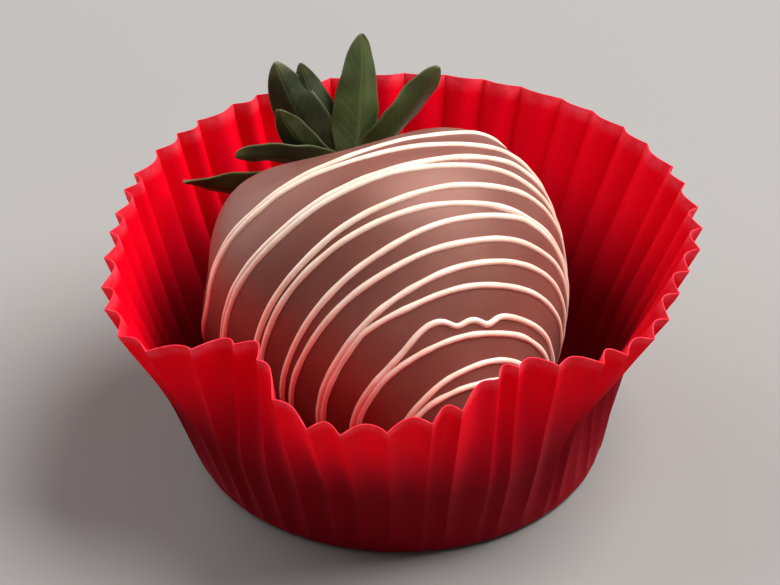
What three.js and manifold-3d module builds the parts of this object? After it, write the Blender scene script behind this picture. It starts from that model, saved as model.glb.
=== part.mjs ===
// A chocolate coated strawberry lying on its side in a fluted paper case.
// Millimetres, +Z up. The origin is the centre of the case's flat base, on the surface it stands on,
// and the tip of the berry points to -Y. Angles round the case are in degrees from +X towards +Y.
import * as THREE from 'three';
import { mergeVertices } from 'three/addons/utils/BufferGeometryUtils.js';
import Module from 'manifold-3d';

const wasm = await Module();
wasm.setup();

const DEG = THREE.MathUtils.DEG2RAD;
const GAP = 0.3;

// The paper case: a flat disc pleated into a cup.
const BASE_RADIUS = 25.4;
const WALL_LENGTH = 31.75;
const PAPER = 0.45;
const FLUTES = 48;
const STEPS_PER_FLUTE = 4;
const WALL_ROWS = [0, 2.5, 8, 14, 20, 26, WALL_LENGTH];
const FOOT_FLARE = 19;
const WALL_FLARE = 20.5;
const BEND_START = 10;
const BEND_END = 16;
const SECTION_STEPS = 16;
const FLUTE_UNEVENNESS = 0.16;
const CREASE_DRIFT = 0.012;
const PLEAT_ROUNDING = 0.55;

// How the wall leans away from its mean flare below and above the bend: where round the case,
// over what spread, and by how many degrees outwards.
const LOWER_LEANS = [{ at: -45, spread: 16, lean: -16 }];
const UPPER_LEANS = [
  { at: 38, spread: 34, lean: 8.6 },
  { at: -35, spread: 23, lean: 4.5 },
  { at: -51, spread: 9, lean: 7.6 },
  { at: -84, spread: 8.5, lean: -16 },
  { at: -127, spread: 18, lean: 8.8 },
  { at: -148, spread: 9, lean: -31 },
  { at: -171, spread: 22, lean: 12.4 },
  { at: 163, spread: 21, lean: -7 },
];

// The coated berry: an uneven egg on its side, flat where it set on the tray.
const BERRY_LENGTH = 47.4;
const BERRY_RADIUS = 21;
const BERRY_TAPER = 0.41;
const BERRY_RATIO = 1.1;
const BERRY_ROLL = 58;
const BERRY_TILT = 26;
const BERRY_CENTRE = new THREE.Vector3(-0.3, -2.3, 18.3);
const DIMPLE = { depth: 2.6, spread: 0.26 };
// Where the berry swells or is flat: an angle along the egg, from 0 at the calyx to pi at the tip,
// an angle round it from the top, positive to -X, a spread round it and a height.
const LUMP_SPREAD = 0.24;
const LUMPS = [
  { at: 0.66, round: 62, spread: 14, out: 1.1 },
  { at: 0.54, round: 7, spread: 24, out: -1.5 },
  { at: 0.76, round: -42, spread: 12, out: 0.7 },
  { at: 1.02, round: 92, spread: 13, out: -1.1 },
  { at: 1.25, round: -78, spread: 16, out: -1 },
  { at: 1.34, round: 110, spread: 12, out: 0.8 },
];
const FLOOR = PAPER + GAP;
const BERRY_SIDES = 44;
const CALYX_END_ROWS = 7;
const TIP_END_ROWS = 4;
const MOST_ROW_SPACING = 4;
const HALVINGS = 24;

// The drizzle: raised lines over the top, each about square to the berry's axis. A stroke has its
// place along the axis from the middle towards the tip, a turn about the axis's narrow side and a
// veer from its left end to its right one.
const DRIZZLE_HALF_WIDTH = 0.5;
const DRIZZLE_HEIGHT = 0.45;
const DRIZZLE_SWEEP = 0.305;
const DRIZZLE_REACH = 108;
const DRIZZLE_FADE = 8;
const LEAST_STROKE_SPACING = 0.55;
const MOST_SHARE_OF_SPACING = 0.45;
const STROKE_ROUNDS = 6;
const DRIZZLE = [
  { along: -12, turn: -0.09, veer: 0.02 },
  { along: -9.5, turn: -0.063, veer: -0.113 },
  { along: -5.5, turn: -0.039, veer: -0.031 },
  { along: -3.15, turn: 0.051, veer: -0.155 },
  { along: 0.66, turn: 0.054, veer: -0.058 },
  { along: 3.3, turn: 0.096, veer: -0.15 },
  { along: 4.15, turn: 0.004, veer: 0.022 },
  { along: 6.15, turn: -0.017, veer: -0.007 },
  { along: 9.45, turn: 0.025, veer: 0.01 },
  { along: 9.4, turn: -0.089, veer: -0.02 },
  { along: 13.9, turn: 0.004, veer: -0.004 },
  { along: 14.1, turn: -0.07, veer: -0.009 },
  { along: 18.25, turn: 0.044, veer: 0.036 },
  { along: 18.1, turn: -0.089, veer: 0.041 },
];

// The calyx: sepals round a small cap with a cut stalk.
const CAP_CLEARANCE = 0.75;
const CAP_RADIUS = 3.2;
const CAP_HEIGHT = 1.7;
const CAP_EDGE_HEIGHT = 0.6 * CAP_HEIGHT;
const STALK_RADIUS = 1.1;
const STALK_FOOT_RADIUS = 1.43;
const STALK_LENGTH = 4.5;
const STALK_SIDES = 16;
const SEPAL_ROOT = 1.6;
const SEPAL_THICKNESS = 0.5;
const SEPAL_EDGE_THINNING = 0.35;
const SEPAL_FOLD = 20;
const SEPAL_WAVE = 0.35;
const SEPAL_WAVES = 1.3;
const SEPAL_BLUNTNESS = 0.6;
const SEPAL_ROOT_PHASE = 0.14;
const SEPAL_LEAST_HALF_WIDTH = 0.3;
const SEPAL_ROWS = 6;
const SEPAL_COLUMNS = 4;
// A sepal has its direction round the cap (0 upwards, positive to +X), its length and width, the lift
// of its root out of the cap's plane, how much further it lifts towards its end, and how far round
// it bends as it goes.
const SEPALS = [
  { around: 24, length: 17.3, width: 7.1, lift: 43, curl: 10, bend: -11 },
  { around: 70, length: 16.9, width: 7.6, lift: 23, curl: 6, bend: -34 },
  { around: -27, length: 14.8, width: 5.2, lift: 54, curl: 4, bend: 12 },
  { around: -50, length: 16.6, width: 7.2, lift: 48, curl: 6, bend: 32 },
  { around: -56, length: 13.4, width: 4.6, lift: 24, curl: 4, bend: 32 },
  { around: -49, length: 15.2, width: 5.4, lift: 9, curl: 4, bend: -42 },
  { around: -107, length: 19.5, width: 5.8, lift: 5, curl: 22, bend: 18 },
  { around: 92, length: 14, width: 5, lift: 14, curl: -6, bend: 0 },
  { around: 126, length: 15, width: 5.6, lift: 24, curl: 4, bend: 10 },
  { around: 160, length: 14, width: 5.2, lift: 26, curl: -6, bend: 0 },
  { around: -167, length: 13.5, width: 5.8, lift: 14, curl: 4, bend: -8 },
  { around: -136, length: 14, width: 5, lift: 28, curl: -6, bend: 0 },
];

const SAME_POINT = 1e-4;

// A repeatable random number from 0 to 1 for each whole number.
function scatter(number) {
  const wave = Math.sin(number * 127.1 + 311.7) * 43758.5453;
  return wave - Math.floor(wave);
}

function hump(value, centre, spread) {
  return Math.exp(-0.5 * ((value - centre) / spread) ** 2);
}

// The shortest way round from one angle to another, in degrees.
function apart(angle, other) {
  return THREE.MathUtils.euclideanModulo(angle - other + 180, 360) - 180;
}

function sumOfLeans(leans, angle) {
  return leans.reduce((sum, { at, spread, lean }) => sum + lean * hump(apart(angle, at), 0, spread), 0);
}

// The wall's lean from upright, in radians, at a distance up the paper from the base's edge.
function leanAt(angle, distance) {
  const lower = FOOT_FLARE + sumOfLeans(LOWER_LEANS, angle);
  const upper = WALL_FLARE + sumOfLeans(UPPER_LEANS, angle);
  const bent = THREE.MathUtils.smoothstep(distance, BEND_START, BEND_END);
  return DEG * THREE.MathUtils.lerp(lower, upper, bent);
}

// The middle of the wall in its upright plane, before the flutes: radius, height and lean.
function wallSection(angle, distance) {
  const step = distance / SECTION_STEPS;
  const place = { radius: BASE_RADIUS - PAPER / 2, height: PAPER / 2, lean: leanAt(angle, distance) };
  for (let i = 0; i < SECTION_STEPS; i += 1) {
    const lean = leanAt(angle, (i + 0.5) * step);
    place.radius += Math.sin(lean) * step;
    place.height += Math.cos(lean) * step;
  }
  return place;
}

// How deep the pleats are where a ring of flat paper is gathered to a smaller radius.
function fluteDepth(distance, radius) {
  const flat = Math.PI * (BASE_RADIUS + distance) / FLUTES;
  const gathered = Math.PI * radius / FLUTES;
  return PLEAT_ROUNDING * Math.sqrt(Math.max(flat ** 2 - gathered ** 2, 0));
}

// A pleat's wave: 1 on its sharp outer crease, -1 on its round inner fold.
function pleatWave(column) {
  const phase = (column % STEPS_PER_FLUTE) / STEPS_PER_FLUTE;
  return 1 - 2 * Math.sin(Math.PI * phase);
}

// A point of the wall's outer face, where side is 1, or of its inner face, where it is -1.
function wallPoint(column, distance, side) {
  const flute = Math.floor(column / STEPS_PER_FLUTE);
  const drift = CREASE_DRIFT * (scatter(flute) - 0.5) / 2;
  const angle = 360 * (column / (STEPS_PER_FLUTE * FLUTES) + drift);
  const { radius, height, lean } = wallSection(angle, distance);
  const uneven = 1 + FLUTE_UNEVENNESS * (2 * scatter(flute + FLUTES) - 1);
  const depth = uneven * fluteDepth(distance, radius);
  const offset = (pleatWave(column) * depth + side * PAPER) / 2;
  const out = radius + Math.cos(lean) * offset;
  return [out * Math.cos(angle * DEG), out * Math.sin(angle * DEG), height - Math.sin(lean) * offset];
}

function geometryOf(positions, index) {
  const geometry = new THREE.BufferGeometry();
  geometry.setAttribute('position', new THREE.Float32BufferAttribute(positions.flat(), 3));
  geometry.setIndex(index);
  return geometry;
}

// Two triangles between four corners that run anticlockwise.
function quad(index, a, b, c, d) {
  index.push(a, b, c, a, c, d);
}

// Both faces of the wall, row by row: the outer one from the base's underside, then the inner one.
function wallPositions(columns) {
  const positions = [];
  for (const side of [1, -1]) {
    for (const [row, distance] of WALL_ROWS.entries()) {
      for (let column = 0; column < columns; column += 1) {
        const point = wallPoint(column, distance, side);
        if (row === 0) point[2] = side > 0 ? 0 : PAPER;
        positions.push(point);
      }
    }
  }
  return positions;
}

function paperCase() {
  const columns = FLUTES * STEPS_PER_FLUTE;
  const rows = WALL_ROWS.length;
  const last = rows - 1;
  const positions = wallPositions(columns);
  const under = positions.push([0, 0, 0]) - 1;
  const over = positions.push([0, 0, PAPER]) - 1;
  const index = [];
  for (let column = 0; column < columns; column += 1) {
    const next = (column + 1) % columns;
    const outer = (row, along) => row * columns + along;
    const inner = (row, along) => (rows + row) * columns + along;
    for (let row = 0; row < last; row += 1) {
      quad(index, outer(row, column), outer(row, next), outer(row + 1, next), outer(row + 1, column));
      quad(index, inner(row, next), inner(row, column), inner(row + 1, column), inner(row + 1, next));
    }
    quad(index, outer(last, column), outer(last, next), inner(last, next), inner(last, column));
    index.push(under, outer(0, next), outer(0, column));
    index.push(over, inner(0, column), inner(0, next));
  }
  return geometryOf(positions, index);
}

// The berry's own frame: along its axis to the tip, its section's narrow and wide ways, and the
// directions up and left square to the axis.
function berryFrame() {
  const along = new THREE.Vector3(0, -Math.cos(BERRY_TILT * DEG), -Math.sin(BERRY_TILT * DEG));
  const left = new THREE.Vector3(-1, 0, 0);
  const up = new THREE.Vector3().crossVectors(left, along);
  const narrow = left.clone().applyAxisAngle(along, BERRY_ROLL * DEG);
  const wide = up.clone().applyAxisAngle(along, BERRY_ROLL * DEG);
  return { along, left, up, narrow, wide };
}

// The egg's radius and place along its axis, before the lumps.
function berrySection(angle) {
  const dimple = DIMPLE.depth * Math.exp(-((angle / DIMPLE.spread) ** 2));
  return {
    radius: BERRY_RADIUS * Math.sin(angle) * (1 + BERRY_TAPER * Math.cos(angle)),
    along: -BERRY_LENGTH / 2 * Math.cos(angle) + dimple,
  };
}

function lumpAt(angle, round) {
  return LUMPS.reduce((sum, lump) => {
    const share = hump(angle, lump.at, LUMP_SPREAD) * hump(apart(round, lump.round), 0, lump.spread);
    return sum + lump.out * share;
  }, 0);
}

// The angle at which the berry's skin reaches a place along its axis, found by halving.
function angleAt(place) {
  let low = 2 * DIMPLE.spread;
  let high = Math.PI;
  for (let i = 0; i < HALVINGS; i += 1) {
    const middle = (low + high) / 2;
    if (berrySection(middle).along < place) {
      low = middle;
    } else {
      high = middle;
    }
  }
  return low;
}

function solidOf(geometry) {
  geometry.deleteAttribute('normal');
  geometry.deleteAttribute('uv');
  const merged = mergeVertices(geometry, SAME_POINT);
  return new wasm.Manifold(new wasm.Mesh({
    numProp: 3,
    vertProperties: merged.attributes.position.array,
    triVerts: Uint32Array.from(merged.index.array),
  }));
}

function geometryFrom(solid) {
  const mesh = solid.getMesh();
  const geometry = new THREE.BufferGeometry();
  geometry.setAttribute('position', new THREE.BufferAttribute(mesh.vertProperties.slice(), 3));
  geometry.setIndex(Array.from(mesh.triVerts));
  return geometry;
}

// How far the strokes stand out of the coat on one side of the berry.
function strokeHeight(side) {
  const start = DRIZZLE_REACH - DRIZZLE_FADE;
  return DRIZZLE_HEIGHT * (1 - THREE.MathUtils.smoothstep(Math.abs(side.fromTop), start, DRIZZLE_REACH));
}

// The rows of one column of the berry's skin where the strokes cross it: each an angle along the egg
// and a height above its skin. A stroke is a crest between two edges.
function strokeRows(side) {
  const crests = strokeCrests(side);
  const height = strokeHeight(side);
  const rows = [];
  const edge = (crest, direction, space) => {
    const half = Math.min(DRIZZLE_HALF_WIDTH, MOST_SHARE_OF_SPACING * space);
    const rise = height * (1 - half / DRIZZLE_HALF_WIDTH);
    rows.push({ angle: angleAt(crest + direction * half), rise });
  };
  for (const [i, crest] of crests.entries()) {
    const before = i > 0 ? crest - crests[i - 1] : Infinity;
    const after = i + 1 < crests.length ? crests[i + 1] - crest : Infinity;
    edge(crest, -1, before);
    rows.push({ angle: angleAt(crest), rise: height });
    edge(crest, 1, after);
    if (DRIZZLE[i + 1]?.along - DRIZZLE[i].along > MOST_ROW_SPACING) {
      rows.push({ angle: angleAt(crest + after / 2), rise: 0 });
    }
  }
  return rows;
}

// The rows of one column of the berry's skin, from the calyx to the tip.
function skinRows(side) {
  const rows = strokeRows(side);
  const first = rows[0].angle;
  const rest = Math.PI - rows[rows.length - 1].angle;
  const calyxEnd = [];
  for (let i = 1; i < CALYX_END_ROWS; i += 1) {
    calyxEnd.push({ angle: first * i / CALYX_END_ROWS, rise: 0 });
  }
  const tipEnd = [];
  for (let i = 1; i < TIP_END_ROWS; i += 1) {
    tipEnd.push({ angle: Math.PI - rest * (1 - i / TIP_END_ROWS), rise: 0 });
  }
  return [...calyxEnd, ...rows, ...tipEnd];
}

// A direction round the berry: its angle from the top in degrees, positive to -X, and how much of it
// is to the left and along the section's narrow and wide ways.
function sideAt(frame, round) {
  const direction = frame.up.clone().applyAxisAngle(frame.along, round * DEG);
  return {
    fromTop: apart(round, 0),
    left: direction.dot(frame.left),
    narrow: direction.dot(frame.narrow),
    wide: direction.dot(frame.wide),
  };
}

// Where the strokes cross one side of the berry, kept in order and apart. How far a slanting stroke
// has moved depends on the berry's radius where it is, so its place is found in a few rounds.
function strokeCrests(side) {
  const crests = [];
  for (const { along, turn, veer } of DRIZZLE) {
    const slant = (turn + DRIZZLE_SWEEP) * side.narrow + veer * side.left;
    let place = along;
    for (let i = 0; i < STROKE_ROUNDS; i += 1) {
      place = along + berrySection(angleAt(place)).radius * slant;
    }
    const least = (crests[crests.length - 1] ?? -Infinity) + LEAST_STROKE_SPACING;
    crests.push(Math.max(place, least));
  }
  return crests;
}

// A point of the skin. Below the floor the coat is pressed flat.
function skinPoint(frame, side, { angle, rise }) {
  const { radius, along } = berrySection(angle);
  const height = rise + lumpAt(angle, side.fromTop);
  const out = radius + height * Math.sin(angle);
  const point = BERRY_CENTRE.clone().addScaledVector(frame.along, along - height * Math.cos(angle));
  point.addScaledVector(frame.narrow, out * side.narrow);
  point.addScaledVector(frame.wide, BERRY_RATIO * out * side.wide);
  point.z = Math.max(point.z, FLOOR);
  return point.toArray();
}

function coatedBerry() {
  const frame = berryFrame();
  const top = sideAt(frame, 0);
  const positions = [];
  for (let column = 0; column < BERRY_SIDES; column += 1) {
    const side = sideAt(frame, 360 * column / BERRY_SIDES);
    positions.push(...skinRows(side).map((row) => skinPoint(frame, side, row)));
  }
  const rows = positions.length / BERRY_SIDES;
  const calyxPole = positions.push(skinPoint(frame, top, { angle: 0, rise: 0 })) - 1;
  const tipPole = positions.push(skinPoint(frame, top, { angle: Math.PI, rise: 0 })) - 1;
  const index = [];
  for (let column = 0; column < BERRY_SIDES; column += 1) {
    const here = column * rows;
    const there = (column + 1) % BERRY_SIDES * rows;
    for (let row = 0; row + 1 < rows; row += 1) {
      quad(index, here + row, there + row, there + row + 1, here + row + 1);
    }
    index.push(calyxPole, there, here);
    index.push(tipPole, here + rows - 1, there + rows - 1);
  }
  return geometryOf(positions, index);
}

// The calyx's frame: its middle on the end of the berry, out along the axis, up and to the side.
function calyxFrame() {
  const { along, left, up } = berryFrame();
  const out = along.clone().negate();
  const middle = BERRY_CENTRE.clone().addScaledVector(out, CAP_CLEARANCE - berrySection(0).along);
  return { middle, out, up, side: left.negate() };
}

// A sepal starts wide at its root, as if its outline began a little way along a spindle.
function sepalHalfWidth(width, t) {
  const phase = THREE.MathUtils.lerp(SEPAL_ROOT_PHASE, 1, t);
  const leaf = Math.sin(Math.PI * phase) ** SEPAL_BLUNTNESS;
  return Math.max(width / 2 * leaf, SEPAL_LEAST_HALF_WIDTH);
}

// The way a sepal runs at one place, the way across it and the way out of its upper face.
function sepalDirections(frame, around, lift) {
  const away = frame.up.clone().multiplyScalar(Math.cos(around * DEG));
  away.addScaledVector(frame.side, Math.sin(around * DEG));
  const across = new THREE.Vector3().crossVectors(away, frame.out);
  const forward = away.multiplyScalar(Math.cos(lift * DEG)).addScaledVector(frame.out, Math.sin(lift * DEG));
  const normal = new THREE.Vector3().crossVectors(across, forward);
  return { forward, across, normal };
}

// One row of a sepal, folded along its middle and wavy at its edges: the upper face, then the lower.
function sepalRow(spine, { across, normal }, half, t, seed) {
  const points = [];
  const turn = 2 * Math.PI * (SEPAL_WAVES * t + scatter(seed));
  for (const face of [1, -1]) {
    for (let column = 0; column <= SEPAL_COLUMNS; column += 1) {
      const v = 2 * column / SEPAL_COLUMNS - 1;
      const wave = SEPAL_WAVE * v * Math.sin(turn);
      const fold = Math.abs(v) * half * Math.sin(SEPAL_FOLD * DEG);
      const thickness = SEPAL_THICKNESS * (1 - SEPAL_EDGE_THINNING * Math.abs(v));
      const point = spine.clone().addScaledVector(across, v * half * Math.cos(SEPAL_FOLD * DEG));
      point.addScaledVector(normal, fold + wave + face * thickness / 2);
      points.push(point.toArray());
    }
  }
  return points;
}

// A sepal's spine starts on the cap, lifts out of the cap's plane and bends sideways as it goes.
function sepalGeometry(frame, { around, length, width, lift, curl, bend }, seed) {
  const positions = [];
  const spine = frame.middle.clone().addScaledVector(frame.out, CAP_HEIGHT / 2);
  spine.addScaledVector(sepalDirections(frame, around, 0).forward, SEPAL_ROOT);
  for (let row = 0; row <= SEPAL_ROWS; row += 1) {
    const t = row / SEPAL_ROWS;
    const directions = sepalDirections(frame, around + bend * t, lift + curl * t);
    if (row > 0) spine.addScaledVector(directions.forward, length / SEPAL_ROWS);
    positions.push(...sepalRow(spine, directions, sepalHalfWidth(width, t), t, seed));
  }
  return geometryOf(positions, sepalIndex());
}

// Both faces of a sepal are split along the same diagonals.
function sepalIndex() {
  const index = [];
  const last = SEPAL_COLUMNS;
  const end = SEPAL_ROWS;
  const upper = (row, column) => row * 2 * (last + 1) + column;
  const lower = (row, column) => upper(row, column) + last + 1;
  for (let row = 0; row < end; row += 1) {
    const on = row + 1;
    for (let column = 0; column < last; column += 1) {
      const next = column + 1;
      quad(index, upper(row, column), upper(row, next), upper(on, next), upper(on, column));
      index.push(lower(row, column), lower(on, next), lower(row, next));
      index.push(lower(row, column), lower(on, column), lower(on, next));
    }
    quad(index, lower(row, 0), upper(row, 0), upper(on, 0), lower(on, 0));
    quad(index, upper(row, last), lower(row, last), lower(on, last), upper(on, last));
  }
  for (let column = 0; column < last; column += 1) {
    const next = column + 1;
    quad(index, lower(0, column), lower(0, next), upper(0, next), upper(0, column));
    quad(index, upper(end, column), upper(end, next), lower(end, next), lower(end, column));
  }
  return index;
}

function capAndStalk(frame) {
  const outline = [
    new THREE.Vector2(0, 0),
    new THREE.Vector2(CAP_RADIUS, 0),
    new THREE.Vector2(CAP_RADIUS, CAP_EDGE_HEIGHT),
    new THREE.Vector2(STALK_FOOT_RADIUS, CAP_HEIGHT),
    new THREE.Vector2(STALK_RADIUS, CAP_HEIGHT + STALK_LENGTH / 3),
    new THREE.Vector2(STALK_RADIUS, STALK_LENGTH),
    new THREE.Vector2(0, STALK_LENGTH),
  ];
  const geometry = new THREE.LatheGeometry(outline, STALK_SIDES);
  const third = new THREE.Vector3().crossVectors(frame.side, frame.out);
  const place = new THREE.Matrix4().makeBasis(frame.side, frame.out, third);
  place.setPosition(frame.middle);
  return geometry.applyMatrix4(place);
}

function calyx() {
  const frame = calyxFrame();
  let solid = solidOf(capAndStalk(frame));
  for (const [seed, sepal] of SEPALS.entries()) {
    solid = solid.add(solidOf(sepalGeometry(frame, sepal, seed)));
  }
  return geometryFrom(solid);
}

function part(name, geometry, color, roughness) {
  const mesh = new THREE.Mesh(geometry, new THREE.MeshStandardMaterial({ color, roughness, metalness: 0 }));
  mesh.name = name;
  return mesh;
}

const strawberry = new THREE.Group();
strawberry.add(part('paper_case', paperCase(), 0xd4001c, 0.7));
strawberry.add(part('coated_berry', coatedBerry(), 0x6b3f33, 0.4));
strawberry.add(part('calyx', calyx(), 0x3f5a2a, 0.6));

export default strawberry;
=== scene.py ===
"""A chocolate coated strawberry lying on its side in a pleated paper case.

Metres, +Z up. The origin is the centre of the case's flat base, the tip of the berry points to -Y and
its leaves to +Y. Angles round the case are in degrees from +X towards +Y. Angles round the berry are in
degrees from its top, positive to -X, and angles along it run from 0 at the calyx to pi at the tip.
"""
import math

import bpy
from mathutils import Matrix, Vector, noise


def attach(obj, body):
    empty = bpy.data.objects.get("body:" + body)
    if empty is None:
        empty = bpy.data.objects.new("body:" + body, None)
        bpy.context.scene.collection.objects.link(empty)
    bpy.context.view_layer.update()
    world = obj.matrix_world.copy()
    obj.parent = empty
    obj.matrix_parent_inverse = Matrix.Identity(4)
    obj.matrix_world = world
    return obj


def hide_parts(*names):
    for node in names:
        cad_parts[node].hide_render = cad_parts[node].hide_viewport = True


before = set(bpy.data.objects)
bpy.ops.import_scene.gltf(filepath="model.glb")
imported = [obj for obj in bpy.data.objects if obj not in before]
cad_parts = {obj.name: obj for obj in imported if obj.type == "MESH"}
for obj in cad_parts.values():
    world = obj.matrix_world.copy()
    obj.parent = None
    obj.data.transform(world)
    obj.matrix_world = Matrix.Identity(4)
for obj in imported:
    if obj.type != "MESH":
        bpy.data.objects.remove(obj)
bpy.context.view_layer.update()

bl_info = {
    "name": "Coated Strawberry",
    "version": (1, 0, 0),
    "blender": (4, 5, 0),
    "location": "View3D > Sidebar > Strawberry",
    "description": "Models a chocolate coated strawberry in a pleated paper case",
    "category": "Add Mesh",
}

# The box of the solids, taken before any new piece comes in.
BODY = "root"
MM = 0.001
DEG = math.pi / 180

# The paper case: a flat disc pressed into a cup. Its wall leans away from the mean flare below and
# above a bend: where round the case, over what spread, and by how many degrees outwards.
FLUTES = 48
STEPS_PER_FLUTE = 10
BEND_START = 10 * MM
BEND_END = 16 * MM
FOOT_FLARE = 19
BASE_CORNER = 1.2 * MM
LOWER_LEANS = [(-45, 16, -16)]
UPPER_LEANS = [
    (38, 34, 8.6),
    (-35, 23, 4.5),
    (-51, 9, 7.6),
    (-84, 8.5, -16),
    (-127, 18, 8.8),
    (-148, 9, -31),
    (-171, 22, 12.4),
    (163, 21, -7),
]
# How unevenly deep the flutes are, how far their creases drift in turns, and what rounding leaves of
# their depth.
FLUTE_UNEVENNESS = 0.16
CREASE_DRIFT = 0.003
PLEAT_ROUNDING = 0.55
SECTION_STEP = 0.5 * MM
# Small dents: how many fit in a radian round the case, how tall they are and how deep.
DENTS_ROUND = 14
DENT_LENGTH = 9 * MM
DENT_DEPTH = 0.16 * MM
# The rings of the flat disc: shares of the base's radius, shares of the corner's size, then even rows.
FIRST_RING = 0.2
BASE_RINGS = [0.45, 0.7, 0.86, 0.94]
CORNER_RINGS = [-1, -0.6, -0.2, 0.2, 0.6, 1, 1.6, 2.4]
WALL_ROWS = 22
# A point that close below the next flute counts as being on it.
ROUNDING_ERROR = 1e-6
PAPER_SMOOTH_ANGLE = 38 * DEG

# The berry's place and its shape before its lumps.
BERRY_CENTRE = Vector((-0.3, -2.3, 18.3)) * MM
BERRY_TILT = 26 * DEG
BERRY_ROLL = 58 * DEG
BERRY_TAPER = 0.41
BERRY_RATIO = 1.1
DIMPLE_DEPTH = 2.6 * MM
DIMPLE_SPREAD = 0.26
HALVINGS = 24
COAT_FLOOR = 0.25 * MM
COAT_SEGMENTS = 160
COAT_RINGS = 110
COAT_SMOOTH_ANGLE = 40 * DEG
# Where the chocolate set thicker or thinner: how far apart the swells are and how high.
BROAD_SWELL_SIZE = 11 * MM
BROAD_SWELL = 0.22 * MM
FINE_SWELL_SIZE = 4 * MM
FINE_SWELL = 0.06 * MM
FINE_SWELL_START = Vector((7, 3, 1))
# Where the berry swells or is flat: angle along it, angle round it, spread round it and height.
LUMP_SPREAD = 0.24
LUMPS = [
    (0.66, 62, 14, 1.1 * MM),
    (0.54, 7, 24, -1.5 * MM),
    (0.76, -42, 12, 0.7 * MM),
    (1.02, 92, 13, -1.1 * MM),
    (1.25, -78, 16, -1.0 * MM),
    (1.34, 110, 12, 0.8 * MM),
]

# The drizzle: each stroke's place along the axis from the middle towards the tip, its turn about the
# section's narrow side and its veer from the left end to the right one.
DRIZZLE_SWEEP = 0.305
DRIZZLE_REACH = 112
LEAST_STROKE_SPACING = 0.55 * MM
STROKE_STEPS = 200
STROKE_ROUNDS = 6
# How far a stroke drifts from its line and swells from its width, over how many degrees, and how far
# apart two strokes' draws are.
STROKE_DRIFT = 0.18 * MM
DRIFT_SPREAD = 22
DRIFT_DRAW = 5.3
STROKE_SWELL = 0.16
SWELL_SPREAD = 9
SWELL_DRAW = 3.1
# How suddenly a stroke ends, and its least cross-section as a share of the full one.
END_SHARPNESS = 20
LEAST_END_AREA = 0.02
THREAD_ROUNDNESS = 3
THREAD_SMOOTH_ANGLE = 60 * DEG
STROKES = [
    (-12 * MM, -0.09, 0.02),
    (-9.5 * MM, -0.063, -0.113),
    (-5.5 * MM, -0.039, -0.031),
    (-3.15 * MM, 0.051, -0.155),
    (0.66 * MM, 0.054, -0.058),
    (3.3 * MM, 0.096, -0.15),
    (4.15 * MM, 0.004, 0.022),
    (6.15 * MM, -0.017, -0.007),
    (9.45 * MM, 0.025, 0.01),
    (9.4 * MM, -0.089, -0.02),
    (13.9 * MM, 0.004, -0.004),
    (14.1 * MM, -0.07, -0.009),
    (18.25 * MM, 0.044, 0.036),
    (18.1 * MM, -0.089, 0.041),
]
# One stroke wavers: where round the berry, over what spread, and how far towards the tip.
WAVY_STROKE = 10
WAVERS = [
    (4, 8.5, -1.0 * MM),
    (-6, 3, 0.6 * MM),
    (-20.5, 3, 0.74 * MM),
]

# The calyx: a small cap with a cut stalk, and sepals round it. A sepal has its direction round the
# cap (0 upwards, positive to +X), length, width, lift of its root out of the cap's plane, further
# lift towards its end, bend sideways, and how pale it is from 0 to 1, which is partly the sepal's
# own tone and partly painted shade, set darker for the sepals that lie in shadow.
CAP_CLEARANCE = 0.75 * MM
SEPAL_ROOT = 1.6 * MM
SEPAL_FOLD = 20 * DEG
SEPAL_WAVE = 0.35 * MM
SEPAL_WAVES = 1.3
SEPAL_RIPPLE = 0.12 * MM
SEPAL_RIPPLES = 3.7
SEPAL_RIB = 0.16 * MM
SEPAL_RIB_SPREAD = 0.12
SEPAL_CREASE = 0.012
SEPAL_BLUNTNESS = 0.6
SEPAL_ROOT_PHASE = 0.14
SEPAL_LEAST_HALF_WIDTH = 0.14 * MM
SEPAL_ROWS = 26
SEPAL_COLUMNS = 12
# What tells the ripples' random draws from the waves' draws.
RIPPLE_DRAW = 40
CALYX_SMOOTH_ANGLE = 60 * DEG
# The cap: how much it narrows to its shoulder, and that shoulder's share of its height. The stalk: its
# foot, cut rim and cut depth as shares of its radius, and how it narrows to its waist and widens again.
CAP_TAPER = 0.94
CAP_EDGE_SHARE = 0.6
STALK_FOOT = 1.3
STALK_WAIST = 0.8
STALK_TOP = 1.04
CUT_RIM = 0.25
CUT_DEPTH = 0.12
# The veins: how far they slant from the midrib towards the tip, and how close together they are.
VEIN_SLANT = 0.22
VEIN_RATE = 75
# The last column is partly each sepal's own tone and partly painted shade on the sepals in shadow.
SEPALS = [
    (24, 17.3, 7.1, 43, 10, -11, 1.0),
    (70, 16.9, 7.6, 23, 6, -34, 0.9),
    (-27, 14.8, 5.2, 54, 4, 12, 0.2),
    (-50, 16.6, 7.2, 48, 6, 32, 0.05),
    (-56, 13.4, 4.6, 24, 4, 32, 0.4),
    (-49, 15.2, 5.4, 9, 4, -42, 0.45),
    (-107, 19.5, 5.8, 5, 22, 18, 0.8),
    (92, 14, 5, 14, -6, 0, 0.4),
    (126, 15, 5.6, 24, 4, 10, 0.6),
    (160, 14, 5.2, 26, -6, 0, 0.5),
    (-167, 13.5, 5.8, 14, 4, -8, 0.3),
    (-136, 14, 5, 28, -6, 0, 0.5),
]

# The view: the camera looks down at the case from in front and a little to the left of the tip.
CAMERA_DISTANCE = 1.238
CAMERA_ELEVATION = 36.3 * DEG
CAMERA_AZIMUTH = 20.6 * DEG
SENSOR_WIDTH = 36
AIM = Vector((-1.1, 0.4, 22)) * MM
LAMP_TINT = (1, 0.98, 0.96)
SKY_TINT = (1, 0.985, 0.97, 1)
SKY_STRENGTH = 0.17
FLOOR_RADIUS = 4
FLOOR_DROP = 0.1 * MM


def length(name, default, description):
    return bpy.props.FloatProperty(
        name=name,
        description=description,
        default=default,
        unit="LENGTH",
        subtype="DISTANCE",
        precision=5,
    )


def colour(name, default, description):
    return bpy.props.FloatVectorProperty(
        name=name, description=description, default=default, size=3, min=0, max=1, subtype="COLOR"
    )


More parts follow.
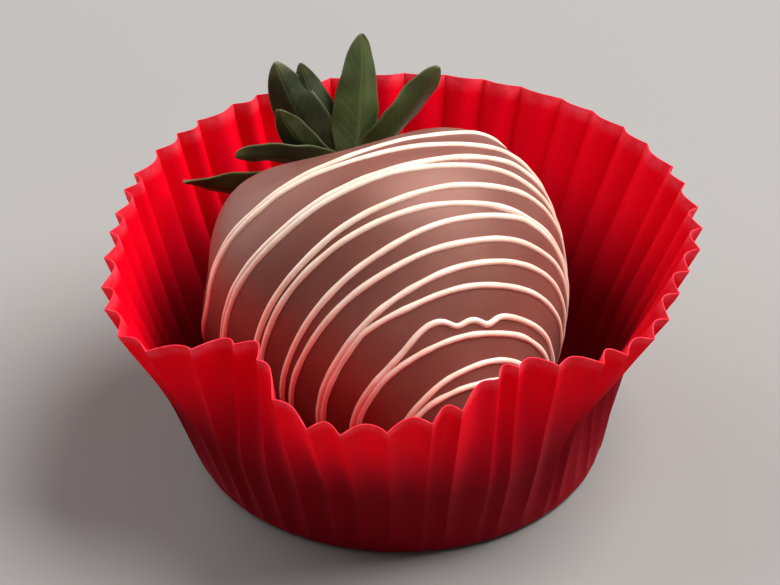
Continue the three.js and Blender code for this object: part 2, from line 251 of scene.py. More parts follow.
class CaseSettings(bpy.types.PropertyGroup):
    base_radius: length("Base radius", 25.4 * MM, "Radius of the case's flat base")
    wall_length: length("Wall length", 31.75 * MM, "Length of paper from the base's edge to the rim")
    paper: length("Paper", 0.14 * MM, "Thickness of the paper")
    flare: bpy.props.FloatProperty(
        name="Flare", description="Lean of the wall from upright", default=20.5 * DEG, unit="ROTATION"
    )
    lit: colour("Paper colour", (0.95, 0.0, 0.018), "Colour of the red paper")
    # The deep colour is painted shade: the wall is drawn this dark low down in the case, where shade
    # falls.
    deep: colour("Deep colour", (0.24, 0.001, 0.008), "Colour of the paper near its base")
    # The rim's colour is partly the cut rim's real wear and partly a painted highlight where it catches
    # the light.
    worn_and_highlit: colour("Worn colour", (0.97, 0.09, 0.14), "Colour of the paper's cut rim")


class CoatSettings(bpy.types.PropertyGroup):
    berry_length: length("Length", 47.4 * MM, "Length of the berry from calyx to tip")
    berry_radius: length("Radius", 21 * MM, "Radius of the berry before its taper")
    chocolate: colour("Chocolate", (0.195, 0.067, 0.051), "Colour of the milk chocolate coat")


class DrizzleSettings(bpy.types.PropertyGroup):
    half_width: length("Half width", 0.44 * MM, "Half the width of a line of white chocolate")
    sunk: length("Sunk", 0.12 * MM, "How deep the middle of a line lies in the coat")
    cream: colour("White chocolate", (0.92, 0.72, 0.62), "Colour of the white chocolate")


class CalyxSettings(bpy.types.PropertyGroup):
    sepal: length("Sepal thickness", 0.32 * MM, "Thickness of a sepal")
    stalk_radius: length("Stalk radius", 1.1 * MM, "Radius of the cut stalk")
    stalk_length: length("Stalk length", 4.5 * MM, "Length of the cut stalk from the cap's underside")
    cap_radius: length("Cap radius", 3.2 * MM, "Radius of the cap that carries the sepals")
    cap_height: length("Cap height", 1.7 * MM, "Height of the cap that carries the sepals")
    leaf: colour("Leaf", (0.032, 0.047, 0.008), "Colour of a sepal")
    pale: colour("Pale leaf", (0.14, 0.14, 0.05), "Colour of a sepal's edge, midrib and tip")


class StageSettings(bpy.types.PropertyGroup):
    floor: colour("Floor", (0.28, 0.275, 0.27), "Colour of the floor")
    focal_length: bpy.props.FloatProperty(
        name="Focal length", description="Focal length in millimetres", default=450
    )


# ---------------------------------------------------------------- numbers


def hump(value, centre, spread):
    return math.exp(-0.5 * ((value - centre) / spread) ** 2)


def apart(angle, other):
    """The shortest way round from one angle to another, in degrees."""
    return (angle - other + 180) % 360 - 180


def smooth(value, start, end):
    t = min(max((value - start) / (end - start), 0), 1)
    return t * t * (3 - 2 * t)


def scatter(number):
    """A repeatable random number from 0 to 1 for each whole number."""
    wave = math.sin(number * 127.1 + 311.7) * 43758.5453
    return wave - math.floor(wave)


# ---------------------------------------------------------------- modelling tools


def fresh():
    """Object mode with nothing selected, ready for a new primitive."""
    if bpy.context.mode != "OBJECT":
        bpy.ops.object.mode_set(mode="OBJECT")
    bpy.ops.object.select_all(action="DESELECT")


def take(piece):
    """Makes one object the only selected and the active one."""
    fresh()
    piece.select_set(True)
    bpy.context.view_layer.objects.active = piece


def named(piece_name):
    piece = bpy.context.object
    piece.name = piece_name
    piece.data.name = piece_name
    return piece


def modify(piece, kind, **settings):
    """Adds a modifier and applies it."""
    take(piece)
    modifier = piece.modifiers.new(kind.title(), kind)
    for key, value in settings.items():
        setattr(modifier, key, value)
    bpy.ops.object.modifier_apply(modifier=modifier.name)


def joined(pieces, piece_name):
    take(pieces[0])
    for piece in pieces[1:]:
        piece.select_set(True)
    bpy.ops.object.join()
    return named(piece_name)


def move_vertices(piece, place):
    """Puts each vertex where a function of its present place says."""
    for vertex in piece.data.vertices:
        vertex.co = place(vertex.co.copy())
    piece.data.update()


def finish_piece(piece, material, node, smooth_angle):
    """Shades a piece, dresses it and puts it in a node's place."""
    take(piece)
    bpy.ops.object.shade_smooth_by_angle(angle=smooth_angle)
    piece.data.materials.clear()
    piece.data.materials.append(material)
    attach(piece, BODY)
    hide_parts(node)


# ---------------------------------------------------------------- the paper case


def sum_of_leans(leans, angle):
    return DEG * sum(lean * hump(apart(angle, at), 0, spread) for at, spread, lean in leans)


def lean_at(sizes, angle, distance):
    """The wall's lean from upright at a distance up the paper from the base's edge."""
    lower = FOOT_FLARE * DEG + sum_of_leans(LOWER_LEANS, angle)
    upper = sizes.flare + sum_of_leans(UPPER_LEANS, angle)
    wall = lower + (upper - lower) * smooth(distance, BEND_START, BEND_END)
    return wall + (math.pi / 2 - wall) * (1 - smooth(distance, -BASE_CORNER, BASE_CORNER))


def wall_section(sizes, angle, distance):
    """The middle of the wall before the flutes: radius, height and lean."""
    radius, height, at = sizes.base_radius - BASE_CORNER, sizes.paper / 2, -BASE_CORNER
    while at < distance:
        size = min(SECTION_STEP, distance - at)
        lean = lean_at(sizes, angle, at + size / 2)
        radius += math.sin(lean) * size
        height += math.cos(lean) * size
        at += size
    return radius, height, lean_at(sizes, angle, distance)


def flute_depth(sizes, distance, radius):
    """How deep the pleats are where a ring of flat paper is gathered to a smaller radius."""
    flat = math.pi * (sizes.base_radius + distance) / FLUTES
    gathered = math.pi * radius / FLUTES
    return PLEAT_ROUNDING * math.sqrt(max(flat ** 2 - gathered ** 2, 0))


def pressed(sizes, flat):
    """Where a point of the flat paper disc lies once it is pressed into the case."""
    flat_radius = math.hypot(flat.x, flat.y)
    turn = math.atan2(flat.y, flat.x) / (2 * math.pi) % 1 * FLUTES
    whole = math.floor(turn + ROUNDING_ERROR)
    flute = whole % FLUTES
    phase = max(turn - whole, 0)
    following = (flute + 1) % FLUTES
    drift = CREASE_DRIFT * ((scatter(flute) - 0.5) * (1 - phase) + (scatter(following) - 0.5) * phase)
    angle = 360 * (turn / FLUTES + 2 * drift)
    distance = flat_radius - sizes.base_radius
    if distance < -BASE_CORNER:
        radius, height, lean = flat_radius, sizes.paper / 2, math.pi / 2
    else:
        radius, height, lean = wall_section(sizes, angle, distance)
    uneven = 1 + FLUTE_UNEVENNESS * (2 * scatter(flute + FLUTES) - 1)
    wave = 1 - 2 * math.sin(math.pi * phase)
    grown = smooth(distance, -BASE_CORNER, 2 * BASE_CORNER)
    offset = wave * uneven * grown * flute_depth(sizes, max(distance, 0), radius) / 2
    offset += crumple(angle, distance) * grown
    radius += math.cos(lean) * offset
    height -= math.sin(lean) * offset
    return Vector((radius * math.cos(angle * DEG), radius * math.sin(angle * DEG), height))


def crumple(angle, distance):
    """Small dents that pressing leaves in the paper."""
    x, y = math.cos(angle * DEG) * DENTS_ROUND, math.sin(angle * DEG) * DENTS_ROUND
    return DENT_DEPTH * noise.noise(Vector((x, y, distance / DENT_LENGTH)))


def paper_rings(sizes):
    """The radii of the flat disc's rings after the first."""
    rings = [sizes.base_radius * share for share in BASE_RINGS]
    rings += [sizes.base_radius + BASE_CORNER * share for share in CORNER_RINGS]
    start = rings[-1]
    rim = sizes.base_radius + sizes.wall_length
    return rings + [start + (rim - start) * row / WALL_ROWS for row in range(1, WALL_ROWS + 1)]


def flat_disc(sizes):
    """A flat disc of paper, ringed from its middle outwards."""
    first = FIRST_RING * sizes.base_radius
    fresh()
    columns = FLUTES * STEPS_PER_FLUTE
    bpy.ops.mesh.primitive_circle_add(vertices=columns, radius=first, fill_type="TRIFAN")
    disc = named("paper_case_pleated")
    bpy.ops.object.mode_set(mode="EDIT")
    bpy.ops.mesh.select_all(action="DESELECT")
    bpy.ops.object.mode_set(mode="OBJECT")
    middle = 0.5 * first
    for vertex in disc.data.vertices:
        vertex.select = vertex.co.length > middle
    for edge in disc.data.edges:
        edge.select = all(disc.data.vertices[index].co.length > middle for index in edge.vertices)
    bpy.ops.object.mode_set(mode="EDIT")
    bpy.ops.mesh.select_mode(type="EDGE")
    last = first
    for ring in paper_rings(sizes):
        bpy.ops.mesh.extrude_edges_move()
        share = ring / last
        bpy.ops.transform.resize(value=(share, share, 1), center_override=(0, 0, 0))
        last = ring
    bpy.ops.object.mode_set(mode="OBJECT")
    return disc


class STRAWBERRY_OT_paper_case(bpy.types.Operator):
    """Presses a flat paper disc into a pleated case"""

    bl_idname = "strawberry.paper_case"
    bl_label = "Paper Case"

    def execute(self, context):
        sizes = context.scene.strawberry_case
        case = flat_disc(sizes)
        flat_radii = [math.hypot(vertex.co.x, vertex.co.y) for vertex in case.data.vertices]
        move_vertices(case, lambda flat: pressed(sizes, flat))
        up_wall = case.data.attributes.new("up_wall", "FLOAT", "POINT")
        for index, radius in enumerate(flat_radii):
            up_wall.data[index].value = (radius - sizes.base_radius) / sizes.wall_length
        modify(case, "SOLIDIFY", thickness=sizes.paper, offset=0)
        finish_piece(case, paper_finish(sizes), "paper_case", PAPER_SMOOTH_ANGLE)
        return {"FINISHED"}


# ---------------------------------------------------------------- the coated berry


def berry_axes():
    """Along the berry to its tip, left and up square to that, and its section's narrow and wide ways."""
    along = Vector((0, -math.cos(BERRY_TILT), -math.sin(BERRY_TILT)))
    left = Vector((-1, 0, 0))
    up = left.cross(along)
    roll = Matrix.Rotation(BERRY_ROLL, 3, along)
    return along, left, up, roll @ left, roll @ up


def berry_section(sizes, angle):
    """The egg's radius and its place along the axis."""
    radius = sizes.berry_radius * math.sin(angle) * (1 + BERRY_TAPER * math.cos(angle))
    dimple = DIMPLE_DEPTH * math.exp(-((angle / DIMPLE_SPREAD) ** 2))
    return radius, -sizes.berry_length / 2 * math.cos(angle) + dimple


def lump_at(angle, around):
    return sum(
        out * hump(angle, at, LUMP_SPREAD) * hump(apart(around, middle), 0, spread)
        for at, middle, spread, out in LUMPS
    )


def angle_at(sizes, place):
    """The angle at which the skin reaches a place along the axis, found by halving."""
    low, high = 2 * DIMPLE_SPREAD, math.pi
    for _ in range(HALVINGS):
        middle = (low + high) / 2
        if berry_section(sizes, middle)[1] < place:
            low = middle
        else:
            high = middle
    return low


def skin_point(sizes, angle, around, rise):
    """A point of the coat, or that far above it."""
    along, _, up, narrow, wide = berry_axes()
    direction = Matrix.Rotation(around * DEG, 3, along) @ up
    radius, place = berry_section(sizes, angle)
    height = rise + lump_at(angle, around)
    out = radius + height * math.sin(angle)
    point = BERRY_CENTRE + along * (place - height * math.cos(angle))
    return point + narrow * out * direction.dot(narrow) + wide * BERRY_RATIO * out * direction.dot(wide)


def set_unevenly(point):
    """How far the chocolate stands out where it set thicker or thinner."""
    broad = noise.noise(point / BROAD_SWELL_SIZE)
    fine = noise.noise(point / FINE_SWELL_SIZE + FINE_SWELL_START)
    return BROAD_SWELL * broad + FINE_SWELL * fine


class STRAWBERRY_OT_chocolate_coat(bpy.types.Operator):
    """Models the milk chocolate coat of the berry"""

    bl_idname = "strawberry.chocolate_coat"
    bl_label = "Chocolate Coat"

    def execute(self, context):
        sizes = context.scene.strawberry_coat
        fresh()
        bpy.ops.mesh.primitive_uv_sphere_add(segments=COAT_SEGMENTS, ring_count=COAT_RINGS, radius=1)
        coat = named("chocolate_coat")

        def skin(ball):
            angle = math.acos(min(max(ball.z, -1), 1))
            around = math.atan2(ball.y, ball.x) / DEG
            point = skin_point(sizes, angle, around, 0)
            return skin_point(sizes, angle, around, set_unevenly(point))

        move_vertices(coat, skin)
        take(coat)
        bpy.ops.object.mode_set(mode="EDIT")
        bpy.ops.mesh.select_all(action="SELECT")
        bpy.ops.mesh.bisect(
            plane_co=(0, 0, COAT_FLOOR), plane_no=(0, 0, 1), use_fill=True, clear_inner=True
        )
        bpy.ops.mesh.select_all(action="SELECT")
        bpy.ops.mesh.normals_make_consistent(inside=False)
        bpy.ops.object.mode_set(mode="OBJECT")
        material = chocolate_finish(sizes)
        finish_piece(coat, material, "coated_berry", COAT_SMOOTH_ANGLE)
        return {"FINISHED"}


# ---------------------------------------------------------------- the drizzle


def stroke_place(sizes, stroke, around):
    """How far along the axis a stroke crosses one side of the berry."""
    along, left, up, narrow, _ = berry_axes()
    direction = Matrix.Rotation(around * DEG, 3, along) @ up
    start, turn, veer = stroke
    place = start
    slant = (turn + DRIZZLE_SWEEP) * direction.dot(narrow) + veer * direction.dot(left)
    for _ in range(STROKE_ROUNDS):
        radius, _ = berry_section(sizes, angle_at(sizes, place))
        place = start + radius * slant
    return place


def stroke_places(sizes, around):
    """Where all the strokes cross one side of the berry, kept in order and apart."""
    places = []
    for number, stroke in enumerate(STROKES):
        place = stroke_place(sizes, stroke, around)
        place += STROKE_DRIFT * noise.noise(Vector((around / DRIFT_SPREAD, number * DRIFT_DRAW, 0)))
        if number == WAVY_STROKE:
            place += sum(shift * hump(around, at, spread) for at, spread, shift in WAVERS)
        if places:
            place = max(place, places[-1] + LEAST_STROKE_SPACING)
        places.append(place)
    return places


def stroke_line(sizes, widths, number, crossings):
    """A stroke as points on the coat, each with its share of the full width."""
    line = []
    for around, places in crossings:
        angle = angle_at(sizes, places[number])
        point = skin_point(sizes, angle, around, 0)
        rise = set_unevenly(point) - widths.sunk
        taper = math.sqrt(max(1 - (around / DRIZZLE_REACH) ** END_SHARPNESS, LEAST_END_AREA))
        uneven = noise.noise(Vector((around / SWELL_SPREAD, number * SWELL_DRAW, 4)))
        swell = 1 + STROKE_SWELL * uneven
        line.append((skin_point(sizes, angle, around, rise), taper * swell))
    return line


def tube(line, half_width):
    """A round thread through points, each with its share of the half width."""
    curve = bpy.data.curves.new("thread", "CURVE")
    curve.dimensions = "3D"
    curve.bevel_depth = half_width
    curve.bevel_resolution = THREAD_ROUNDNESS
    curve.use_fill_caps = True
    spline = curve.splines.new("POLY")
    spline.points.add(len(line) - 1)
    for point, (place, share) in zip(spline.points, line):
        point.co = (*place, 1)
        point.radius = share
    thread = bpy.data.objects.new("thread", curve)
    bpy.context.scene.collection.objects.link(thread)
    take(thread)
    bpy.ops.object.convert(target="MESH")
    return bpy.context.object


class STRAWBERRY_OT_drizzle(bpy.types.Operator):
    """Draws the white chocolate lines over the coat"""

    bl_idname = "strawberry.drizzle"
    bl_label = "White Chocolate Drizzle"

    def execute(self, context):
        sizes = context.scene.strawberry_coat
        widths = context.scene.strawberry_drizzle
        sides = [DRIZZLE_REACH * (2 * step / STROKE_STEPS - 1) for step in range(STROKE_STEPS + 1)]
        crossings = [(around, stroke_places(sizes, around)) for around in sides]
        lines = [stroke_line(sizes, widths, number, crossings) for number in range(len(STROKES))]
        drizzle = joined([tube(line, widths.half_width) for line in lines], "white_chocolate_drizzle")
        material = cream_finish(widths)
        finish_piece(drizzle, material, "coated_berry", THREAD_SMOOTH_ANGLE)
        return {"FINISHED"}


# ---------------------------------------------------------------- the calyx


def calyx_place(sizes):
    """The middle of the cap's underside, and the calyx's ways out, up and to the side."""
    along, left, up, _, _ = berry_axes()
    out = -along
    middle = BERRY_CENTRE + out * (CAP_CLEARANCE - berry_section(sizes, 0)[1])
    return middle, out, up, -left


def sepal_ways(axes, around, lift):
    """The way a sepal runs at one place, the way across it and the way out of its upper face."""
    _, out, up, side = axes
    away = up * math.cos(around * DEG) + side * math.sin(around * DEG)
    across = away.cross(out)
    forward = away * math.cos(lift * DEG) + out * math.sin(lift * DEG)
    return forward, across, across.cross(forward)


def sepal_half_width(width, t):
    phase = SEPAL_ROOT_PHASE + (1 - SEPAL_ROOT_PHASE) * t
    leaf = math.sin(math.pi * phase) ** SEPAL_BLUNTNESS if t < 1 else 0
    return max(width / 2 * leaf, SEPAL_LEAST_HALF_WIDTH)


def sepal_spine(axes, sizes, sepal):
    """The middle line of a sepal with its ways at each row."""
    around, span, _, lift, curl, bend, _ = sepal
    middle, out, _, _ = axes
    point = middle + out * sizes.cap_height / 2 + sepal_ways(axes, around, 0)[0] * SEPAL_ROOT
    spine = []
    for row in range(SEPAL_ROWS + 1):
        t = row / SEPAL_ROWS
        ways = sepal_ways(axes, around + bend * t, lift + curl * t)
        if row > 0:
            point = point + ways[0] * span * MM / SEPAL_ROWS
        spine.append((point, ways))
    return spine


def sepal_piece(axes, sizes, number, sepal):
    """One sepal: a thin leaf folded along its middle, with a wavy edge."""
    spine = sepal_spine(axes, sizes, sepal)
    width = sepal[2] * MM
    wave_start, ripple_start = scatter(number), scatter(number + RIPPLE_DRAW)
    fresh()
    bpy.ops.mesh.primitive_grid_add(x_subdivisions=SEPAL_COLUMNS, y_subdivisions=SEPAL_ROWS, size=1)
    piece = named("sepal")

    def leaf(flat):
        v, t = 2 * flat.x, flat.y + 0.5
        point, (_, across, normal) = spine[round(t * SEPAL_ROWS)]
        half = sepal_half_width(width, t)
        wave = SEPAL_WAVE * v * math.sin(2 * math.pi * (SEPAL_WAVES * t + wave_start))
        ripple = SEPAL_RIPPLE * v * v * math.sin(2 * math.pi * (SEPAL_RIPPLES * t + ripple_start))
        rib = -SEPAL_RIB * hump(v, 0, SEPAL_RIB_SPREAD) * (1 - t)
        fold = math.sqrt(v * v + SEPAL_CREASE) * half * math.sin(SEPAL_FOLD)
        return point + across * v * half * math.cos(SEPAL_FOLD) + normal * (fold + wave + ripple + rib)

    move_vertices(piece, leaf)
    # How pale the sepal is: partly its own tone, partly painted shade where it lies in shadow.
    paleness_and_painted_shade = piece.data.attributes.new("paleness_and_painted_shade", "FLOAT", "POINT")
    for item in paleness_and_painted_shade.data:
        item.value = sepal[-1]
    modify(piece, "SOLIDIFY", thickness=sizes.sepal, offset=0)
    modify(piece, "SUBSURF", levels=1, render_levels=1)
    return piece


class STRAWBERRY_OT_sepals(bpy.types.Operator):
    """Models the green leaves of the calyx"""

    bl_idname = "strawberry.sepals"
    bl_label = "Sepals"

    def execute(self, context):
        sizes = context.scene.strawberry_calyx
        axes = calyx_place(context.scene.strawberry_coat)
        pieces = [sepal_piece(axes, sizes, number, sepal) for number, sepal in enumerate(SEPALS)]
        leaves = joined(pieces, "sepals")
        finish_piece(leaves, leaf_finish(sizes), "calyx", CALYX_SMOOTH_ANGLE)
        return {"FINISHED"}


class STRAWBERRY_OT_stalk(bpy.types.Operator):
    """Models the cap under the sepals and the cut stalk"""

    bl_idname = "strawberry.stalk"
    bl_label = "Cap and Stalk"

    def execute(self, context):
        sizes = context.scene.strawberry_calyx
        middle, out, up, side = calyx_place(context.scene.strawberry_coat)
        fresh()
        bpy.ops.mesh.primitive_circle_add(vertices=32, radius=sizes.cap_radius, fill_type="NGON")
        stalk = named("cap_and_stalk")
        bpy.ops.object.mode_set(mode="EDIT")
        bpy.ops.mesh.select_all(action="SELECT")
        half_stalk = 0.5 * (sizes.stalk_length - sizes.cap_height)
        foot = STALK_FOOT * sizes.stalk_radius / (CAP_TAPER * sizes.cap_radius)
        self.grow(CAP_EDGE_SHARE * sizes.cap_height, CAP_TAPER)
        self.grow((1 - CAP_EDGE_SHARE) * sizes.cap_height, foot)
        self.grow(half_stalk, STALK_WAIST)
        self.grow(half_stalk, STALK_TOP)
        bpy.ops.mesh.inset(thickness=CUT_RIM * sizes.stalk_radius, depth=-CUT_DEPTH * sizes.stalk_radius)
        bpy.ops.mesh.select_all(action="SELECT")
        bpy.ops.mesh.normals_make_consistent(inside=False)
        bpy.ops.object.mode_set(mode="OBJECT")
        basis = Matrix((side, up, out)).transposed()
        move_vertices(stalk, lambda local: middle + basis @ local)
        modify(stalk, "BEVEL", width=0.2 * MM, segments=2, limit_method="ANGLE", angle_limit=35 * DEG)
        modify(stalk, "SUBSURF", levels=2, render_levels=2)
        finish_piece(stalk, stalk_finish(sizes), "calyx", CALYX_SMOOTH_ANGLE)
        return {"FINISHED"}

    def grow(self, height, share):
        """Carries the selected end up by a height and scales it."""
        bpy.ops.mesh.extrude_region_move(TRANSFORM_OT_translate={"value": (0, 0, height)})
        bpy.ops.transform.resize(value=(share, share, 1))


# ---------------------------------------------------------------- finishes


class Value:
    """A number in a shader, with Python's own arithmetic."""

    def __init__(self, finish, socket):
        self.finish = finish
        self.socket = socket

    def math(self, operation, *values):
        return self.finish.node("ShaderNodeMath", {"operation": operation}, *values)

    def __add__(self, other):
        return self.math("ADD", self, other)

    __radd__ = __add__

    def __sub__(self, other):
        return self.math("SUBTRACT", self, other)

    def __rsub__(self, other):
        return self.math("SUBTRACT", other, self)

    def __mul__(self, other):
        return self.math("MULTIPLY", self, other)

    __rmul__ = __mul__

    def __abs__(self):
        return self.math("ABSOLUTE", self)

    def band(self, start, end, low=0, high=1):
        """Rises smoothly from low to high between two values."""
        settings = {"interpolation_type": "SMOOTHSTEP"}
        return self.finish.node("ShaderNodeMapRange", settings, self, start, end, low, high)


class Finish:
    """A node-based material."""

    def __init__(self, name):
        self.material = bpy.data.materials.new(name)
        self.material.use_nodes = True
        self.tree = self.material.node_tree
        self.tree.nodes.clear()
        self.output = self.tree.nodes.new("ShaderNodeOutputMaterial")

    def connect(self, socket, value):
        if isinstance(value, Value):
            self.tree.links.new(value.socket, socket)
        elif isinstance(value, (tuple, list, Vector)) and len(value) == 3 and socket.type == "RGBA":
            socket.default_value = (*value, 1)
        else:
            socket.default_value = value

    def node(self, kind, settings, *values, output=0, **inputs):
        """Any node: its settings first, then its sockets in order and by name."""
        node = self.tree.nodes.new(kind)
        for key, value in settings.items():
            setattr(node, key, value)
        for socket, value in zip([socket for socket in node.inputs if socket.enabled], values):
            self.connect(socket, value)
        for key, value in inputs.items():
            self.connect(node.inputs[key.replace("_", " ")], value)
        return Value(self, node.outputs[output])

    def grain(self, size, detail=3, roughness=0.5):
        """Noise from 0 to 1 with grains of that size, on the piece's own coordinates."""
        place = self.node("ShaderNodeTexCoord", {}, output="Object")
        return self.node(
            "ShaderNodeTexNoise", {}, Vector=place, Scale=1 / size, Detail=detail, Roughness=roughness
        )

    def attribute(self, name):
        return self.node("ShaderNodeAttribute", {"attribute_name": name}, output="Fac")

    def mix(self, share, start, end):
        """From one colour to another."""
        node = self.tree.nodes.new("ShaderNodeMix")
        node.data_type = "RGBA"
        self.connect(node.inputs["Factor"], share)
        colours = [socket for socket in node.inputs if socket.type == "RGBA"]
        self.connect(colours[0], start)
        self.connect(colours[1], end)
        return Value(self, [socket for socket in node.outputs if socket.type == "RGBA"][0])

    def bump(self, height, strength, distance):
        return self.node("ShaderNodeBump", {}, Height=height, Strength=strength, Distance=distance)

    def surface(self, **inputs):
        """The Principled shader."""
        return self.node("ShaderNodeBsdfPrincipled", {}, **inputs)

    def done(self, shader):
        self.tree.links.new(shader.socket, self.output.inputs["Surface"])
        return self.material


def paper_finish(sizes):
    """Red greaseproof paper: matt, a little translucent, darker low down with painted shade, and paler
    along its cut rim with wear and a painted highlight.
    """
    finish = Finish("red_greaseproof_paper")
    fibres = finish.grain(0.5 * MM, detail=4, roughness=0.65)
    cloud = finish.grain(9 * MM, detail=2)
    up = finish.attribute("up_wall")
    # The cut rim is paler: partly wear and partly a painted highlight.
    wear_and_highlight = up.band(0.93, 1) * finish.grain(1.4 * MM).band(0.35, 0.75, 0.5, 1.3)
    # Painted shade: the wall's colour goes from the deep colour low down to the lit colour higher up.
    out_of_painted_shade = up.band(0.32, 0.82) * (0.9 + 0.1 * cloud.band(0.3, 0.7))
    red = finish.mix(out_of_painted_shade, tuple(sizes.deep), tuple(sizes.lit))
    colour_over = finish.mix(wear_and_highlight * 0.8, red, tuple(sizes.worn_and_highlit))
    normal = finish.bump(fibres, 0.25, 0.12 * MM)
    paper = finish.surface(
        Base_Color=colour_over,
        Roughness=fibres.band(0.2, 0.8, 0.55, 0.75),
        Normal=normal,
        Specular_IOR_Level=0.12,
        Specular_Tint=(1, 0.25, 0.3, 1),
    )
    through = finish.node("ShaderNodeBsdfTranslucent", {}, Color=tuple(sizes.lit), Normal=normal)
    share = up.band(0.3, 0.9, 0.02, 0.3)
    return finish.done(finish.node("ShaderNodeMixShader", {}, share, paper, through))


def chocolate_finish(sizes):
    """Set milk chocolate: a soft satin skin, slightly uneven in colour and gloss."""
    finish = Finish("milk_chocolate_coat")
    cloud = finish.grain(8 * MM, detail=3)
    grain = finish.grain(0.7 * MM, detail=4, roughness=0.6)
    brown = tuple(sizes.chocolate)
    dark = tuple(0.86 * part for part in brown)
    skin = finish.mix(cloud.band(0.3, 0.7), dark, brown)
    normal = finish.bump(grain, 0.2, 0.06 * MM)
    chocolate = finish.surface(
        Base_Color=skin,
        Roughness=cloud.band(0.25, 0.75, 0.42, 0.52),
        Normal=normal,
        Specular_IOR_Level=0.6,
        Specular_Tint=(1, 0.62, 0.52, 1),
        Coat_Weight=0.04,
        Coat_Roughness=0.3,
        Subsurface_Weight=0.08,
        Subsurface_Scale=0.0012,
        Subsurface_Radius=(1.0, 0.45, 0.3),
    )
    return finish.done(chocolate)


def cream_finish(widths):
    """Set white chocolate: cream, with a soft gloss."""
    finish = Finish("white_chocolate")
    cloud = finish.grain(3 * MM)
    cream = tuple(widths.cream)
    warm = (0.96 * cream[0], 0.86 * cream[1], 0.78 * cream[2])
    white = finish.surface(
        Base_Color=finish.mix(cloud.band(0.3, 0.7), warm, cream),
        Roughness=0.38,
        Normal=finish.bump(finish.grain(0.6 * MM), 0.15, 0.05 * MM),
        Subsurface_Weight=0.25,
        Subsurface_Scale=0.0008,
        Subsurface_Radius=(1.0, 0.8, 0.6),
    )
    return finish.done(white)


def leaf_finish(sizes):
    """A strawberry leaf: veined, with pale edges and a soft bloom of hairs."""
    finish = Finish("strawberry_sepal")
    split = finish.node("ShaderNodeSeparateXYZ", {}, finish.node("ShaderNodeUVMap", {}))
    across = abs(split * 2 - 1)
    along = Value(finish, split.socket.node.outputs["Y"])
    rib = 1 - across.band(0.02, 0.1)
    vein_wave = along.math("SINE", (along - across * VEIN_SLANT) * VEIN_RATE)
    veins = vein_wave.band(0.75, 1) * (1 - across.band(0.7, 0.95))
    edge = across.band(0.82, 1) * 0.3 + along.band(0.84, 1) * 0.55
    patches = finish.grain(3 * MM, detail=4).band(0.35, 0.7)
    green = tuple(sizes.leaf)
    dark_green = (0.35 * green[0], 0.33 * green[1], 0.35 * green[2])
    light_green = (1.7 * green[0], 1.75 * green[1], 1.9 * green[2])
    # Lighter in random patches and with the sepal's own pale value, which carries painted shade on
    # sepals in shadow; darker towards the root.
    lightness_and_painted_shade = patches * 0.35 + finish.attribute("paleness_and_painted_shade") * 0.65
    base = finish.mix(lightness_and_painted_shade * along.band(0, 0.5, 0.45, 1), dark_green, light_green)
    marked = finish.mix(rib * 0.25 + veins * 0.07, base, tuple(sizes.pale))
    whole = finish.mix(edge, marked, tuple(sizes.pale))
    relief = rib * -1 - veins * 0.3 + finish.grain(0.35 * MM, detail=2) * 0.3
    normal = finish.bump(relief, 0.4, 0.12 * MM)
    leaf = finish.surface(
        Base_Color=whole,
        Roughness=patches.band(0, 1, 0.42, 0.58),
        Normal=normal,
        Sheen_Weight=0.2,
        Sheen_Roughness=0.4,
        Sheen_Tint=(0.62, 0.85, 0.7, 1),
        Specular_IOR_Level=0.45,
    )
    through = finish.node("ShaderNodeBsdfTranslucent", {}, Color=light_green, Normal=normal)
    return finish.done(finish.node("ShaderNodeMixShader", {}, 0.12, leaf, through))


def stalk_finish(sizes):
    """The cap and the stalk, pale green with brown patches."""
    finish = Finish("cut_stalk")
    brown = (0.3, 0.22, 0.1)
    patches = finish.grain(1.6 * MM, detail=3).band(0.3, 0.7)
    stalk = finish.surface(
        Base_Color=finish.mix(patches, tuple(sizes.pale), brown),
        Roughness=0.6,
        Normal=finish.bump(finish.grain(0.4 * MM), 0.4, 0.1 * MM),
    )
    return finish.done(stalk)


def floor_finish(settings):
    """A plain pale surface with the faintest unevenness."""
    finish = Finish("pale_floor")
    pale = tuple(settings.floor)
    cloud = finish.grain(0.25, detail=1).band(0.2, 0.8)
    shade = tuple(0.98 * part for part in pale)
    return finish.done(finish.surface(Base_Color=finish.mix(cloud, shade, pale), Roughness=0.8))


# ---------------------------------------------------------------- the stage


def aimed(location, target):
    return (Vector(target) - Vector(location)).to_track_quat("-Z", "Y").to_euler()


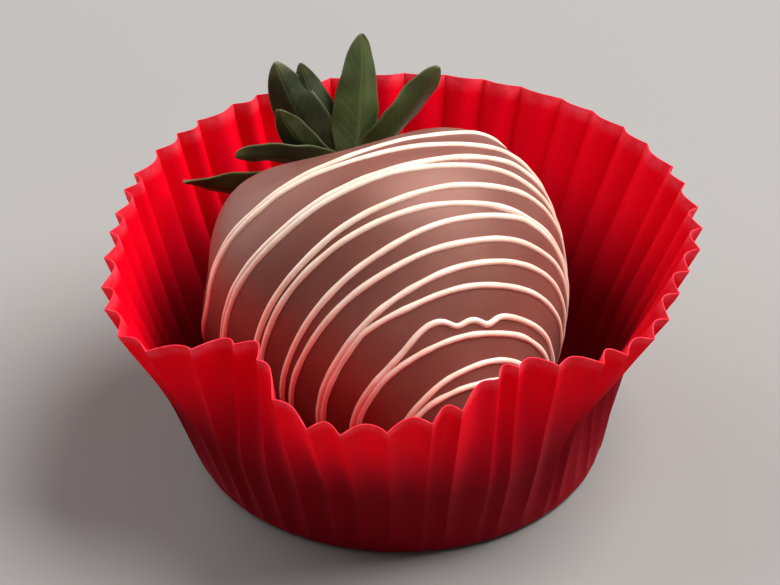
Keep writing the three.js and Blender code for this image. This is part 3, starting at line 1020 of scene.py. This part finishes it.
class STRAWBERRY_OT_stage(bpy.types.Operator):
    """Sets up the floor, the soft lights and the camera"""

    bl_idname = "strawberry.stage"
    bl_label = "Stage"

    def execute(self, context):
        settings = context.scene.strawberry_stage
        self.floor(settings)
        self.softbox("softbox_above", location=(0.64, -0.05, 0.93), size=1.0, power=25.5)
        self.softbox("softbox_back", location=(-0.68, 0.72, 0.6), size=1.5, power=12.5)
        self.softbox("softbox_front", location=(0.3, -1.1, 0.3), size=0.6, power=0.4)
        self.sky()
        self.camera(settings)
        context.scene.view_settings.view_transform = "Standard"
        return {"FINISHED"}

    def floor(self, settings):
        fresh()
        below = (0, 0, -FLOOR_DROP)
        bpy.ops.mesh.primitive_circle_add(
            vertices=96, radius=FLOOR_RADIUS, fill_type="NGON", location=below
        )
        floor = named("floor")
        bpy.ops.object.transform_apply(location=True)
        floor.data.materials.append(floor_finish(settings))

    def softbox(self, name, location, size, power):
        fresh()
        bpy.ops.object.light_add(type="AREA", location=location, rotation=aimed(location, AIM))
        light = bpy.context.object
        light.name = name
        light.data.shape = "DISK"
        light.data.size = size
        light.data.energy = power
        light.data.color = LAMP_TINT

    def sky(self):
        world = bpy.data.worlds.new("pale_room")
        world.use_nodes = True
        background = world.node_tree.nodes["Background"]
        background.inputs["Color"].default_value = SKY_TINT
        background.inputs["Strength"].default_value = SKY_STRENGTH
        bpy.context.scene.world = world

    def camera(self, settings):
        level = CAMERA_DISTANCE * math.cos(CAMERA_ELEVATION)
        location = Vector(
            (
                -level * math.sin(CAMERA_AZIMUTH),
                -level * math.cos(CAMERA_AZIMUTH),
                CAMERA_DISTANCE * math.sin(CAMERA_ELEVATION),
            )
        )
        fresh()
        bpy.ops.object.camera_add(location=location, rotation=aimed(location, AIM))
        camera = bpy.context.object
        camera.name = "camera"
        camera.data.lens = settings.focal_length
        camera.data.sensor_width = SENSOR_WIDTH
        bpy.context.scene.camera = camera


class STRAWBERRY_PT_panel(bpy.types.Panel):
    """Lists the pieces of the coated strawberry and their settings"""

    bl_idname = "STRAWBERRY_PT_panel"
    bl_label = "Coated Strawberry"
    bl_space_type = "VIEW_3D"
    bl_region_type = "UI"
    bl_category = "Strawberry"

    def draw(self, context):
        for step, group in STEPS:
            box = self.layout.box()
            box.operator(f"strawberry.{step}")
            settings = getattr(context.scene, group)
            for name in type(settings).__annotations__:
                box.prop(settings, name)


STEPS = [
    ("paper_case", "strawberry_case"),
    ("chocolate_coat", "strawberry_coat"),
    ("drizzle", "strawberry_drizzle"),
    ("sepals", "strawberry_calyx"),
    ("stalk", "strawberry_calyx"),
    ("stage", "strawberry_stage"),
]
GROUPS = {
    "strawberry_case": CaseSettings,
    "strawberry_coat": CoatSettings,
    "strawberry_drizzle": DrizzleSettings,
    "strawberry_calyx": CalyxSettings,
    "strawberry_stage": StageSettings,
}
CLASSES = [
    *GROUPS.values(),
    STRAWBERRY_OT_paper_case,
    STRAWBERRY_OT_chocolate_coat,
    STRAWBERRY_OT_drizzle,
    STRAWBERRY_OT_sepals,
    STRAWBERRY_OT_stalk,
    STRAWBERRY_OT_stage,
    STRAWBERRY_PT_panel,
]


def register():
    for item in CLASSES:
        bpy.utils.register_class(item)
    for name, group in GROUPS.items():
        setattr(bpy.types.Scene, name, bpy.props.PointerProperty(type=group))


def unregister():
    for name in GROUPS:
        delattr(bpy.types.Scene, name)
    for item in reversed(CLASSES):
        bpy.utils.unregister_class(item)


def main():
    register()
    for step, _ in STEPS:
        getattr(bpy.ops.strawberry, step)()


if __name__ == "__main__":
    main()
